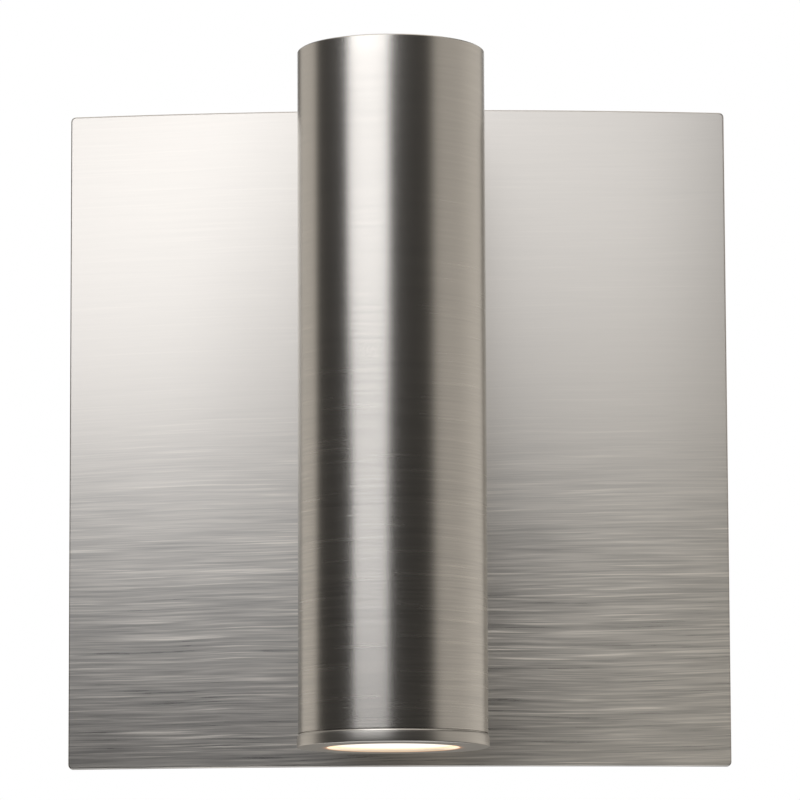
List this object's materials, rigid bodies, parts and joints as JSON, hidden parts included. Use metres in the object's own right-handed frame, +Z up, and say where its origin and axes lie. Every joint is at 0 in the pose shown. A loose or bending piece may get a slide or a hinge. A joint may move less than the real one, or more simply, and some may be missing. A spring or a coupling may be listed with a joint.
{
  "type": "tube wall light",
  "caption": "Wall light with a vertical brushed tube held in front of a bowed square back plate, lighting downwards through a screw-on bezel ring.",
  "frame": {"origin": "on the wall, at the middle of the wall strap's back face, midway between its two slots", "axes": "+Y into the wall, +Z up, the light's front faces -Y"},
  "size_m": [0.2032, 0.1337, 0.2032],
  "materials": {
    "block_plastic": "matte",
    "board_ceramic": "matte",
    "board_green": "matte",
    "case_plastic": "matte",
    "cast_alloy": "as cast",
    "component_black": "matte",
    "frosted_lens": "frosted",
    "gasket_rubber": "soft",
    "green_screw": "green",
    "holder_plastic": "matte",
    "lead_black": "satin",
    "lead_green": "satin",
    "lead_red": "satin",
    "lead_white": "satin",
    "nickel_arm": "brushed nickel",
    "nickel_bezel": "brushed nickel",
    "nickel_cap": "satin nickel",
    "nickel_plate": "brushed nickel, level grain",
    "nickel_tube": "brushed nickel, grain round the tube",
    "nylon": "matte",
    "pad_rubber": "soft",
    "pan_steel": "galvanised sheet",
    "phosphor": "matte",
    "reflector_aluminium": "polished",
    "sink_aluminium": "as turned",
    "tinned_brass": "tinned",
    "zinc_steel": "bright zinc"
  },
  "bodies": {
    "fixture": {"arm": "nickel_arm", "cap_screws": "zinc_steel", "case_screws": "zinc_steel", "driver_board": "board_green", "driver_case": "case_plastic", "driver_parts": "component_black", "driver_standoffs": "nylon", "earth_screw": "zinc_steel", "earth_tag": "tinned_brass", "face_plate": "nickel_plate", "ground_screw": "green_screw", "heat_sink": "sink_aluminium", "holder_screws": "zinc_steel", "inner_bracket": "zinc_steel", "lead_earth": "lead_green", "lead_live": "lead_black", "lead_neutral": "lead_white", "led_board": "board_ceramic", "led_emitter": "phosphor", "led_holder": "holder_plastic", "led_lead_minus": "lead_black", "led_lead_plus": "lead_red", "mounting_pan": "pan_steel", "nipple": "zinc_steel", "pan_nut": "zinc_steel", "pan_washer": "zinc_steel", "plate_studs": "zinc_steel", "reflector": "reflector_aluminium", "saddle_spacer": "cast_alloy", "side_screws": "zinc_steel", "sink_screws": "zinc_steel", "stud_nuts": "zinc_steel", "terminal_block": "block_plastic", "terminal_screws": "tinned_brass", "thermal_pad": "pad_rubber", "top_cap": "nickel_cap", "tube_body": "nickel_tube", "tube_nut": "zinc_steel", "wall_strap": "zinc_steel", "wire_bushings": "nylon"},
    "lens_set": {"lens": "frosted_lens", "lens_gasket": "gasket_rubber"},
    "bezel": {"bezel_ring": "nickel_bezel"}
  },
  "joints": [
    {"name": "lens_drop", "type": "slide", "parent": "fixture", "child": "lens_set", "axis": [0, 0, -1], "range_m": [0, 0.0085]},
    {"name": "bezel_turn", "type": "hinge", "parent": "lens_set", "child": "bezel", "pos_m": [0, -0.106, -0.0996], "axis": [0, 0, -1], "range_deg": [0, 2039]}
  ],
  "couplings": [
    {"joint": "lens_drop", "follows": "bezel_turn", "m_per_rad": 0.00023873}
  ]
}
